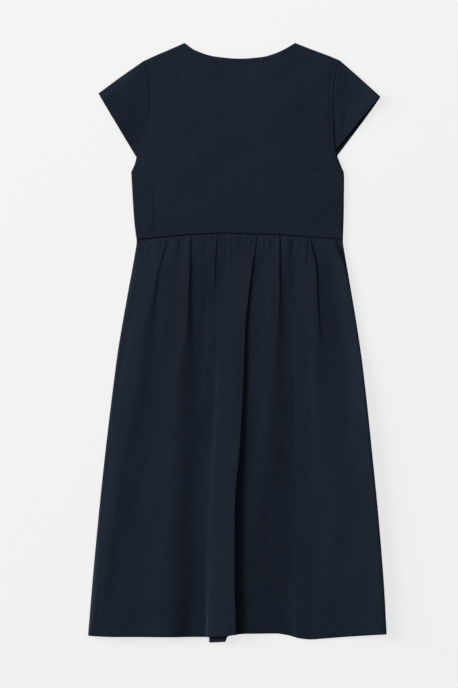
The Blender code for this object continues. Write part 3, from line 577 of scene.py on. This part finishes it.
# ---------------------------------------------------------------- sleeves
def sleeve_sheet(name):
    """A cap sleeve, one piece folded over: rows from its lower end round to its upper end,
    columns from the armhole to the cuff."""
    size = SLEEVE[name]
    side = -1 if name == "sleeve_left" else 1
    a = 0 if side < 0 else 2
    across = laddered(90.0, 46)
    down = laddered(190.0, 62, True, False)
    tip = np.array(size["tip"], float)
    top = shoulder_point(side)
    inset = SEAM_GAP / 2
    fold = top + np.outer(across, tip - top)
    fold[:, 1] += size["overarm_bulge"] * np.sin(np.pi * across)
    fold[:, 0] += side * inset * (1 - across)
    fold[:, 1] -= WALL / 2

    def layer(inside):
        """The upper layer, inside = 1, is cut a little shorter than the one under it."""
        stop = ARMHOLE[SLEEVE_END_ROW][a] + inside * size["shorter"]
        y = ARMHOLE[-1][a] + (stop - ARMHOLE[-1][a]) * down
        arm = np.column_stack([side_line(side, y) + side * inset, y])
        arm[0] = fold[0]
        end = arm[-1] + np.array(size["point"])
        cuff = fold[-1] + np.outer(down, end - fold[-1])
        bow = size["bow"][0 if inside else 1] * np.sin(np.pi * down**0.5)
        cuff += np.array([-side * 0.82, 0.57]) * bow[:, None]
        last = across[:, None]
        point = arm[-1] * (1 - last) + cuff[-1] * last
        return coons(fold, point, arm, cuff, across, down)

    pieces = []
    for is_lower in (False, True):
        grid = layer(0.0 if is_lower else 1.0)
        to_fold = np.linalg.norm(grid - grid[:1], axis=2)
        to_arm = np.linalg.norm(grid - grid[:, :1], axis=2)
        to_cuff = np.linalg.norm(grid - grid[:, -1:], axis=2)
        to_tip = np.linalg.norm(grid - tip, axis=2)
        lift = rounded(to_fold, 4.2)
        if is_lower:
            z = EDGE_Z - EDGE_STAND + (WALL / 2 - EDGE_Z + EDGE_STAND) * lift
        else:
            high = smooth((grid[..., 1] - 436.0) / 50.0) if side < 0 else 1.0
            body = SEAM_Z + size["over"] * smooth(to_arm / 4.0) * high
            body -= 0.3 * np.exp(-((to_arm / 0.7) ** 2)) * high
            body -= size["groove"] * smooth((to_fold - 88.0) / 40.0) * (
                1.0 - 0.6 * smooth(to_arm / 30.0)
            )
            rise, over_a = size["rise"]
            body += rise * smooth(to_arm / over_a) * smooth(to_fold / 18.0)
            body += (
                size["lift"]
                * (1.0 - smooth(to_cuff / size["reach"])) ** 1.4
                * smooth((to_arm - 10.0) / 30.0)
                * (1.0 - smooth((to_fold - 62.0) / 60.0))
            )
            body += size["tip_lift"] * np.exp(-((to_tip / size["tip_reach"]) ** 2))
            body += undulation(grid[..., 0], grid[..., 1], 21 + side, 60.0, 0.18) * smooth(
                to_arm / 25.0
            )
            z = EDGE_Z + EDGE_STAND + (body - EDGE_Z - EDGE_STAND) * lift
        z[0] = EDGE_Z
        pieces.append(np.dstack([grid[..., 0], grid[..., 1], z]))
    return np.concatenate([pieces[1][::-1], pieces[0][1:]])


# ---------------------------------------------------------------- skirt
def level(values, y):
    return float(through(LEVELS, values, y))


def hem_y(x):
    return through(column(HEM, 0), column(HEM, 1), x)


def skirt_y(x, y):
    down = (TOP - y) / (TOP - BOTTOM)
    at_waist = waist_y(x) - SEAM_GAP / 2 - TOP
    at_hem = hem_y(x) - BOTTOM
    return y + at_waist * (1 - down) ** 3 + at_hem * down**8


def side_x(side, y):
    return through(column(SKIRT_SIDES, 0), column(SKIRT_SIDES, 1 if side < 0 else 2), y)


ROLL_STEPS = np.array(
    [0.0, 0.004, 0.012, 0.03, 0.06, 0.1, 0.16, 0.24, 0.34, 0.47, 0.62, 0.8, 1.0]
)
TOP_COUNTS = (9, 9, 14, 10, 10, 10, 16, 9, 9, 9, 8, 6, 8, 9, 14)
LOW_COUNTS = (4, 3, 4, 8, 8, 8, 8, 16, 8, 8, 7, 8, 8, 14, 8, 9)
BEND, RETURN = 14, 10
SKIRT_ROWS = np.concatenate(
    [
        [0.0, 0.5, 1.2, 2.1, 3.2, 4.6, 6.2, 8.0, 10.0, 12.4, 15.2, 18.4, 22.0, 26.0],
        30.5 + 4.9 * np.arange(18),
        np.linspace(119.0, 795.0, 96),
        [799.0, 803.0, 806.0, 808.0, 809.4, 810.4, 811.2, 812.0, 812.8, 813.6, 814.3, 815.0],
    ]
)


def back_section(y):
    """The back skirt's section at a height, from the left side seam to the right one, going
    back under itself at the overlapping pleat."""
    half = WALL / 2
    left, right = side_x(-1, y) + half, side_x(1, y) - half
    at = {name: level(values, y) for name, values in TRACK.items()}
    wide = {name: level(values, y) for name, values in WIDTH.items()}
    upper = [level(values, y) for values in UPPER.values()]
    lower = [level(values, y) for values in LOWER.values()]
    pleat = {name: level(values, y) for name, values in PLEAT.items()}
    bend, inner = pleat["edge_bend"], pleat["inner_bend"]
    edge_x, inner_x = at["pleat_edge"], pleat["inner_at"]

    def sides(name):
        return at[name] - wide[name] / 2, at[name] + wide[name] / 2

    def bay(a, b, *shares):
        return [a + (b - a) * share for share in shares]

    def rolled(x, z, edge, width):
        low = EDGE_Z + EDGE_GAP / 2 + EDGE_STAND
        up = low + (z - low) * rounded(np.abs(x - edge), width)
        return up - EDGE_STAND * (1.0 - smooth(np.abs(x - edge) / 0.35))

    one, two, three, ridge = (sides(n) for n in ("fold_1", "fold_2", "fold_3", "ridge"))
    crest = left + wide["left_roll"]
    nodes = [left, crest, *bay(crest, one[0], 0.5), *one, *bay(one[1], two[0], 0.33, 0.67)]
    nodes += [*two, *bay(two[1], three[0], 0.33, 0.67), *three, *ridge]
    nodes += [*bay(ridge[1], edge_x - bend, 0.5), edge_x - bend]
    nodes = spaced(nodes, 1.2)
    x = np.concatenate([left + (nodes[1] - left) * ROLL_STEPS[:-1], between(nodes[1:], TOP_COUNTS)])
    z = through(nodes[1:], upper, np.maximum(x, nodes[1]))
    z = np.where(x <= nodes[1], rolled(x, z, left, nodes[1] - left), z)
    xs, zs = [x], [z]

    turn = np.pi * np.arange(1, BEND) / BEND
    top = upper[-1]
    xs.append(edge_x - bend + bend * np.sin(turn))
    zs.append(top - bend + bend * np.cos(turn))
    start = (edge_x - bend, top - 2 * bend)
    stop = (inner_x + inner, pleat["floor"] + 2 * inner)
    share = np.linspace(0, 1, RETURN + 1)
    xs.append(start[0] + (stop[0] - start[0]) * share)
    zs.append(start[1] + (stop[1] - start[1]) * smooth(share * 1.15))
    xs.append(inner_x + inner - inner * np.sin(turn))
    zs.append(pleat["floor"] + inner + inner * np.cos(turn))

    five, soft, six = (sides(n) for n in ("fold_5", "soft_ridge", "fold_6"))
    crest = right - wide["right_roll"]
    cave, low_a = edge_x + 2.0, edge_x + min(16.0, 0.4 * (five[0] - edge_x))
    low_b = edge_x + min(32.0, 0.7 * (five[0] - edge_x))
    stub = inner_x + min(STUB_WIDTH, 0.8 * (edge_x - inner_x))
    nodes = [inner_x + inner, stub, stub + 1.2]
    nodes += [cave, low_a, low_b, *bay(low_b, five[0], 0.5), *five]
    nodes += [*bay(five[1], soft[0], 0.5), *soft, *bay(soft[1], six[0], 0.5), *six]
    nodes += [*bay(six[1], crest, 0.5), crest]
    nodes = spaced(nodes, 1.0)
    heights = [pleat["floor"]] * 3 + lower
    roll_x = right - (right - nodes[-1]) * ROLL_STEPS[:-1][::-1]
    x = np.concatenate([between(nodes, LOW_COUNTS), roll_x])
    z = through(nodes, heights, np.minimum(x, nodes[-1]))
    z = np.where(x >= nodes[-1], rolled(x, z, right, right - nodes[-1]), z)
    xs.append(x)
    zs.append(z)
    return np.concatenate(xs), np.concatenate(zs)


def skirt_relief(x, y, down, open_top):
    """The smaller gathers and creases, laid over the section. open_top is 0 where the
    cloth lies under a fold, and 1 where it shows."""
    out = np.zeros_like(x)
    for x0, y0, x1, y1, depth, left, right in GATHERS:
        out += overlap_line(x, y, (y0, y1), (x0, x1), depth, left, right, 1.0, 0.35)
    for x0, y0, x1, y1, depth, left, right in LOW_CREASES:
        out += overlap_line(x, y, (y0, y1), (x0, x1), depth, left, right, 1.6, 0.6)
    rng = np.random.RandomState(5)
    for k in range(MICRO_GATHERS):
        x0 = -200.0 + 412.0 * (k + 0.5 + rng.uniform(-0.32, 0.32)) / MICRO_GATHERS
        reach = rng.uniform(12.0, 34.0)
        lean = (x0 - 5.0) / 205.0 * 0.12 + rng.uniform(-0.06, 0.06)
        top = float(waist_y(x0))
        out += overlap_line(
            x, y, (top, top - reach), (x0, x0 + lean * reach),
            rng.uniform(0.5, 1.3), 3.6, 3.0, 0.8, 0.2,
        )
    swell = 1 - np.exp(-down / 5.0)
    lower = smooth((down - 60.0) / 120.0)
    out += undulation(x, y * 0.35, 31, 62.0, 0.22) * lower
    out += undulation(x, y * 0.6, 32, 24.0, 0.05) * lower
    return out * swell * open_top


def skirt_back_sheet():
    rows = []
    for down in SKIRT_ROWS:
        x, z = back_section(TOP - down)
        rows.append(np.column_stack([x, skirt_y(x, TOP - down), z]))
    grid = np.stack(rows)
    cols = grid.shape[1]
    first = len(ROLL_STEPS) - 1 + 1 + sum(TOP_COUNTS)      # top layer's last point + 1
    under = first + BEND - 1
    returned = under + RETURN + 1
    floor = returned + BEND - 1
    down = SKIRT_ROWS[:, None] * np.ones((1, cols))
    # what shows: the top layer, and the lower one from just right of the pleat's edge
    shows = np.ones((len(SKIRT_ROWS), cols))
    shows[:, first:floor] = 0.0
    edge_x = grid[:, first - 1, 0][:, None]
    shows[:, floor:] = smooth((grid[:, floor:, 0] - edge_x - 6.0) / 12.0)
    near_edge = smooth((edge_x - grid[:, :first, 0]) / 14.0)
    shows[:, :first] = near_edge
    left = grid[:, :1, 0]
    right = grid[:, -1:, 0]
    inside = smooth((grid[..., 0] - left) / 9.0) * smooth((right - grid[..., 0]) / 9.0)
    grid[..., 2] += skirt_relief(grid[..., 0], grid[..., 1], down, shows * inside)
    at_side = overlap_line(
        grid[..., 0], grid[..., 1], column(SIDE_FOLD, 0), column(SIDE_FOLD, 1),
        SIDE_FOLD_DEPTH, 20.0, 9.0, 0.9, 0.9,
    )
    grid[..., 2] += at_side * smooth((right - grid[..., 0]) / 2.5) * shows
    # at the seam the cloth is pressed flat, and swells out below it
    swell = 1 - np.exp(-down / SWELL)
    share = SEAM_SQUASH + (1 - SEAM_SQUASH) * swell
    grid[..., 2] = SQUASH_Z + (grid[..., 2] - SQUASH_Z) * share
    # the hem's turned edge
    room = np.clip(grid[..., 2] - 0.9, 0.0, 1.6)
    grid[..., 2] -= room * (1.0 - rounded(815.0 - down, 2.0)) * shows
    # the pleat's hidden layers hang below the hem
    stop = floor + LOW_COUNTS[0] + 1
    lower = smooth((SKIRT_ROWS - 700.0) / 115.0)[:, None]
    inner = grid[:, returned - 1, 0][:, None]
    hidden = np.zeros(cols)
    hidden[under + 1 : stop] = 1.0
    near_inner = grid[..., 0] - inner <= STUB_WIDTH + 0.1
    grid[..., 1] -= STUB_DROP * lower * hidden * near_inner
    return grid


FRONT_GATHERS = (
    (-168.0, -14.0, 1.2, 16.0, 120.0),
    (-122.0, -6.0, 1.0, 14.0, 90.0),
    (-70.0, -2.0, 1.2, 15.0, 140.0),
    (-14.0, 2.0, 0.9, 13.0, 80.0),
    (136.0, 8.0, 1.2, 15.0, 130.0),
    (182.0, 14.0, 1.0, 14.0, 95.0),
)


def skirt_front_sheet():
    """The front panel lies flat on the surface, with soft gathers below the waist."""
    half = WALL / 2
    end, stand = EDGE_Z - EDGE_GAP / 2, -EDGE_STAND
    share = np.linspace(0, 1, 150)[1:-1]
    rows = []
    for down in SKIRT_ROWS[::2]:
        y = TOP - down
        left, right = side_x(-1, y) + half, side_x(1, y) - half
        x = left + ROLL_WIDTH + (right - left - 2 * ROLL_WIDTH) * share
        z = np.full(len(x), half)
        for at, lean, rise, width, length in FRONT_GATHERS:
            t = down / length
            if t < 1.0:
                centre = at + lean * t
                z += 0.9 * rise * np.exp(-(((x - centre) / width) ** 2)) * np.sin(np.pi * t) ** 2
        steps = ROLL_WIDTH * ROLL_STEPS
        up = (end + stand) + (half - end - stand) * rounded(steps, ROLL_WIDTH)
        up = up - stand * (1.0 - smooth(steps / 0.35))
        x = np.concatenate([left + steps, x, right - steps[::-1]])
        z = np.concatenate([up, z, up[::-1]])
        at_side = np.minimum(x - left, right - x)
        share_down = down / (TOP - BOTTOM)
        shorter = FRONT_HEM_UP * share_down**8 * smooth(at_side / 60.0)
        at_waist = waist_y(x) - SEAM_GAP / 2 - TOP
        at_hem = (1 - smooth(at_side / 40.0)) * (hem_y(x) - BOTTOM)
        yy = y + at_waist * (1 - share_down) ** 3 + at_hem * share_down**8 + shorter
        rows.append(np.column_stack([x, yy, z]))
    return np.stack(rows)


def flat_place(grid, centre):
    """Where each point of a sheet lies in its flat cut: lengths along the rows from a centre
    column, and along that column."""
    across = np.linalg.norm(np.diff(grid, axis=1), axis=2)
    across = np.concatenate([np.zeros((len(grid), 1)), np.cumsum(across, axis=1)], axis=1)
    across -= across[:, centre : centre + 1]
    along = np.linalg.norm(np.diff(grid[:, centre], axis=0), axis=1)
    along = np.concatenate([[0.0], np.cumsum(along)])
    return np.dstack([across, np.broadcast_to(along[:, None], across.shape)])


# ---------------------------------------------------------------- materials
class Nodes:
    """A short way to write a material's nodes."""

    def __init__(self, name):
        self.material = bpy.data.materials.new(name)
        self.material.use_nodes = True
        self.tree = self.material.node_tree
        self.shader = self.tree.nodes["Principled BSDF"]

    def add(self, kind, links=(), **values):
        node = self.tree.nodes.new(kind)
        for key, value in values.items():
            setattr(node, key, value)
        for socket, value in links:
            self.set(node, socket, value)
        return node

    def set(self, node, socket, value):
        if isinstance(value, bpy.types.NodeSocket):
            self.tree.links.new(value, node.inputs[socket])
        else:
            node.inputs[socket].default_value = value

    def math(self, operation, a, b):
        node = self.add("ShaderNodeMath", [(0, a), (1, b)], operation=operation)
        return node.outputs[0]

    def ranged(self, value, low, high):
        node = self.add(
            "ShaderNodeMapRange", [("Value", value), ("To Min", low), ("To Max", high)]
        )
        return node.outputs["Result"]


NAVY = (0.0099, 0.0149, 0.0238)
THREAD_PITCH = 0.00052    # metres from one thread of the weave to the next


def cloth_material(name, colour, weave=True):
    n = Nodes(name)
    place = n.add("ShaderNodeAttribute", attribute_name="cloth_place").outputs["Vector"]
    solid = n.add("ShaderNodeTexCoord").outputs["Object"]
    scale = 2 * math.pi / (20 * THREAD_PITCH)

    def wave(direction, offset):
        node = n.add(
            "ShaderNodeTexWave",
            [
                ("Vector", place), ("Scale", scale), ("Distortion", 0.7), ("Detail", 1.0),
                ("Detail Scale", 0.35), ("Phase Offset", offset),
            ],
            bands_direction=direction,
            wave_profile="SIN",
        )
        return node.outputs["Fac"]

    warp, weft = wave("X", 0.0), wave("Y", 1.3)
    over = n.math("MULTIPLY", warp, weft)
    under = n.math("MULTIPLY", n.math("SUBTRACT", 1.0, warp), n.math("SUBTRACT", 1.0, weft))
    thread = n.math("ADD", over, under)          # 1 on top of a thread, 0 between threads
    slub = n.add(
        "ShaderNodeTexNoise",
        [("Vector", place), ("Scale", 900.0), ("Detail", 2.0), ("Roughness", 0.6)],
    ).outputs["Fac"]
    heather = n.add(
        "ShaderNodeTexNoise",
        [("Vector", solid), ("Scale", 140.0), ("Detail", 3.0), ("Roughness", 0.62)],
    ).outputs["Fac"]
    broad = n.add(
        "ShaderNodeTexNoise",
        [("Vector", solid), ("Scale", 14.0), ("Detail", 2.0), ("Roughness", 0.5)],
    ).outputs["Fac"]
    tone = n.math("MULTIPLY", n.ranged(thread, 0.86, 1.08), n.ranged(slub, 0.90, 1.10))
    tone = n.math("MULTIPLY", tone, n.ranged(heather, 0.82, 1.18))
    for reach in ((95.0, 420.0, 0.0), (420.0, 95.0, 0.0)):      # uneven yarn, both ways
        long_way = n.add("ShaderNodeVectorMath", operation="MULTIPLY")
        n.tree.links.new(place, long_way.inputs[0])
        long_way.inputs[1].default_value = reach
        yarn = n.add(
            "ShaderNodeTexNoise",
            [("Vector", long_way.outputs[0]), ("Scale", 1.0), ("Detail", 2.0), ("Roughness", 0.5)],
        ).outputs["Fac"]
        tone = n.math("MULTIPLY", tone, n.ranged(yarn, 0.73, 1.27))
    tone = n.math("MULTIPLY", tone, n.ranged(broad, 0.95, 1.05))
    cool = tuple(c * f for c, f in zip(colour, (0.94, 1.0, 1.04)))
    warm = tuple(c * f for c, f in zip(colour, (1.10, 1.0, 0.95)))
    hue = n.add(
        "ShaderNodeMix",
        [("Factor", heather), ("A", (*cool, 1.0)), ("B", (*warm, 1.0))],
        data_type="RGBA",
    )
    for key, value in (("A", cool), ("B", warm)):
        socket = [s for s in hue.inputs if s.name == key and s.type == "RGBA"][0]
        socket.default_value = (*value, 1.0)
    hue_out = [s for s in hue.outputs if s.type == "RGBA"][0]
    shade = n.add("ShaderNodeVectorMath", operation="SCALE")
    n.tree.links.new(hue_out, shade.inputs[0])
    n.tree.links.new(tone, shade.inputs["Scale"])
    n.set(n.shader, "Base Color", shade.outputs[0])
    n.set(n.shader, "Roughness", n.ranged(slub, 0.80, 0.92))
    n.set(n.shader, "Specular IOR Level", 0.02)
    n.set(n.shader, "Sheen Weight", 0.006)
    n.set(n.shader, "Sheen Roughness", 0.45)
    n.set(n.shader, "Sheen Tint", (0.72, 0.84, 1.0, 1.0))
    crepe = n.add(
        "ShaderNodeTexNoise",
        [("Vector", place), ("Scale", 520.0), ("Detail", 2.0), ("Roughness", 0.55)],
    ).outputs["Fac"]
    height = n.math("ADD", n.math("MULTIPLY", thread, 0.6), n.math("MULTIPLY", crepe, 0.9))
    bump = n.add(
        "ShaderNodeBump",
        [("Height", height), ("Strength", 0.5), ("Distance", 0.00012)],
    )
    n.set(n.shader, "Normal", bump.outputs[0])
    return n.material


def thread_material(name, colour):
    n = Nodes(name)
    solid = n.add("ShaderNodeTexCoord").outputs["Object"]
    twist = n.add(
        "ShaderNodeTexNoise",
        [("Vector", solid), ("Scale", 2600.0), ("Detail", 2.0)],
    ).outputs["Fac"]
    shade = n.add("ShaderNodeVectorMath", operation="SCALE")
    shade.inputs[0].default_value = colour
    n.tree.links.new(n.ranged(twist, 0.8, 1.25), shade.inputs["Scale"])
    n.set(n.shader, "Base Color", shade.outputs[0])
    n.set(n.shader, "Roughness", n.ranged(twist, 0.5, 0.7))
    n.set(n.shader, "Specular IOR Level", 0.25)
    bump = n.add(
        "ShaderNodeBump", [("Height", twist), ("Strength", 0.4), ("Distance", 0.00008)]
    )
    n.set(n.shader, "Normal", bump.outputs[0])
    return n.material


# ---------------------------------------------------------------- stitches
def stitch_row(name, path, up, material, pitch=3.1, length=2.4, radius=0.24):
    """A row of stitches along a line on the cloth: small tapered tubes that dive in at
    their ends."""
    step = np.linalg.norm(np.diff(path, axis=0), axis=1)
    along = np.concatenate([[0.0], np.cumsum(step)])
    sides, rings = 7, 7
    starts = np.arange(pitch / 2, along[-1] - pitch, pitch)
    points, faces = [], []
    for k, start in enumerate(starts):
        t = np.linspace(0, 1, rings)
        at = start + length * t
        centre = np.column_stack([np.interp(at, along, path[:, c]) for c in range(3)])
        centre[:, 2] += up - 0.26 * (2 * t - 1) ** 2
        direction = centre[-1] - centre[0]
        direction /= np.linalg.norm(direction)
        across = np.cross(direction, (0, 0, 1.0))
        across /= np.linalg.norm(across)
        top = np.cross(across, direction)
        width = radius * np.sqrt(np.maximum(1 - (2 * t - 1) ** 6, 0.05))
        base = len(points)
        for i in range(rings):
            for j in range(sides):
                a = 2 * math.pi * j / sides
                points.append(
                    centre[i] + width[i] * (math.cos(a) * across + 0.8 * math.sin(a) * top)
                )
        for i in range(rings - 1):
            for j in range(sides):
                a, b = base + i * sides + j, base + i * sides + (j + 1) % sides
                faces.append((a, b, b + sides, a + sides))
        faces.append(tuple(base + j for j in range(sides))[::-1])
        faces.append(tuple(base + (rings - 1) * sides + j for j in range(sides)))
    mesh = bpy.data.meshes.new(name)
    mesh.from_pydata([tuple(p * TO_M) for p in points], [], faces)
    mesh.validate()
    mesh.shade_smooth()
    mesh.materials.append(material)
    obj = bpy.data.objects.new(name, mesh)
    bpy.context.scene.collection.objects.link(obj)
    return obj


def inside_line(grid, distance, first, last):
    """The line that lies this far below a sheet's last row, over a range of columns."""
    out = []
    for j in range(first, last):
        line = grid[::-1, j]
        gone = np.concatenate([[0.0], np.cumsum(np.linalg.norm(np.diff(line, axis=0), axis=1))])
        out.append([np.interp(distance, gone, line[:, c]) for c in range(3)])
    return np.array(out)


# ---------------------------------------------------------------- the dress
navy = cloth_material("navy_weave", NAVY)
thread = thread_material("navy_thread", (0.012, 0.018, 0.030))


def declare(obj, node, flat_from, width=None):
    across, length, area = cut_size(flat_from)
    width = across if width is None else width
    print(f"{obj.name}: cut {width:.3f} x {length:.3f} m, {area:.4f} m2")
    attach(obj, "root")
    if node:
        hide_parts(node)


flat_grid = bodice_sheet(front=True)
grid = np.dstack([flat_grid, bodice_heights(flat_grid, True)])
bodice_front = shell("cloth_bodice_front", grid, navy)
declare(
    bodice_front, "bodice_front", grid, width=np.ptp(grid[..., 0]) * TO_M
)

grid = skirt_front_sheet()[::-1]
skirt_front = shell("cloth_skirt_front", grid, navy)
declare(skirt_front, "skirt_front", grid)

flat_grid = bodice_sheet(front=False)
grid = np.dstack([flat_grid, bodice_heights(flat_grid, False)])
bodice_back = shell("cloth_bodice_back", grid, navy)
neck_from, neck_to = len(EDGE_LADDER) + 24, len(grid[0]) - len(EDGE_LADDER) - 24
stitches = stitch_row(
    "neck_stitches", inside_line(grid, 4.4, neck_from, neck_to), 0.46, thread
)
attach(stitches, "root")
declare(
    bodice_back, "bodice_back", grid,
    width=np.ptp(grid[..., 0]) * TO_M,
)

for name in ("sleeve_left", "sleeve_right"):
    grid = sleeve_sheet(name)
    if name == "sleeve_left":
        grid = grid[:, ::-1]
    cloth = flat_place(grid, 0)
    sleeve = shell(f"cloth_{name}", grid[::-1], navy, cloth=cloth[::-1])
    declare(sleeve, name, grid)

grid = skirt_back_sheet()[::-1]
rows_down = SKIRT_ROWS[::-1]
wall = WALL + (HEM_WALL - WALL) * smooth((rows_down - 786.0) / 4.0)
cols = grid.shape[1]
thick = np.broadcast_to(wall[:, None], grid.shape[:2]).copy()
first = len(ROLL_STEPS) + sum(TOP_COUNTS)
pressed = 0.34 + (WALL - 0.34) * smooth(rows_down / 70.0)     # the pleat's bends stay thin
thick[:, first - 6 : first + 2 * BEND + RETURN + 8] = pressed[:, None]
skirt_back = shell(
    "cloth_skirt_back", grid, navy, wall=thick, cloth=flat_place(grid, first)
)
declare(skirt_back, "skirt_back", grid)

# ---------------------------------------------------------------- floor, light, camera
KEY_AZIMUTH, KEY_ELEVATION = 160.0, 20.0
KEY_DISTANCE, KEY_SIZE, KEY_POWER = 13.0, 6.9, 4040.0
FILL = 0.215
TOP_POWER = 4.8
FLOOR_ALBEDO, FLOOR_GLOW = 0.12, 0.755

bpy.ops.mesh.primitive_plane_add(size=40.0, location=(0, 0, -0.0004))
floor = bpy.context.object
floor.name = "floor"
paper = Nodes("pale_floor")
paper.set(paper.shader, "Base Color", (FLOOR_ALBEDO,) * 3 + (1.0,))
paper.set(paper.shader, "Roughness", 1.0)
paper.set(paper.shader, "Specular IOR Level", 0.0)
paper.set(paper.shader, "Emission Color", (1.0, 1.0, 1.0, 1.0))
paper.set(paper.shader, "Emission Strength", FLOOR_GLOW)
floor.data.materials.append(paper.material)

azimuth, elevation = math.radians(KEY_AZIMUTH), math.radians(KEY_ELEVATION)
to_light = Vector(
    (
        math.cos(elevation) * math.cos(azimuth),
        math.cos(elevation) * math.sin(azimuth),
        math.sin(elevation),
    )
)
lamp = bpy.data.lights.new("key", "AREA")
lamp.shape = "DISK"
lamp.size = KEY_SIZE
lamp.energy = KEY_POWER
key = bpy.data.objects.new("key", lamp)
key.location = to_light * KEY_DISTANCE
key.rotation_euler = to_light.to_track_quat("Z", "Y").to_euler()
key.visible_camera = False
bpy.context.scene.collection.objects.link(key)

lamp = bpy.data.lights.new("above_neck", "AREA")     # a soft second light, nearer the neck
lamp.shape = "DISK"
lamp.size = 1.3
lamp.energy = TOP_POWER
second = bpy.data.objects.new("above_neck", lamp)
second.location = (0.0, 1.5, 1.0)
second.rotation_euler = Vector((0.0, 1.1, 1.0)).to_track_quat("Z", "Y").to_euler()
second.visible_camera = False
bpy.context.scene.collection.objects.link(second)

world = bpy.data.worlds.new("studio")
bpy.context.scene.world = world
world.use_nodes = True
back = world.node_tree.nodes["Background"]
back.inputs["Color"].default_value = (1.0, 1.0, 1.0, 1.0)
back.inputs["Strength"].default_value = FILL

lens = bpy.data.cameras.new("camera")
lens.sensor_width = 36.0
lens.lens = 102.1
camera = bpy.data.objects.new("camera", lens)
camera.location = (-0.0166, -0.0038, 4.0)
camera.rotation_euler = (0.0, 0.0, 0.0)
bpy.context.scene.collection.objects.link(camera)
bpy.context.scene.camera = camera
bpy.context.scene.view_settings.view_transform = "Standard"

bpy.context.view_layer.update()
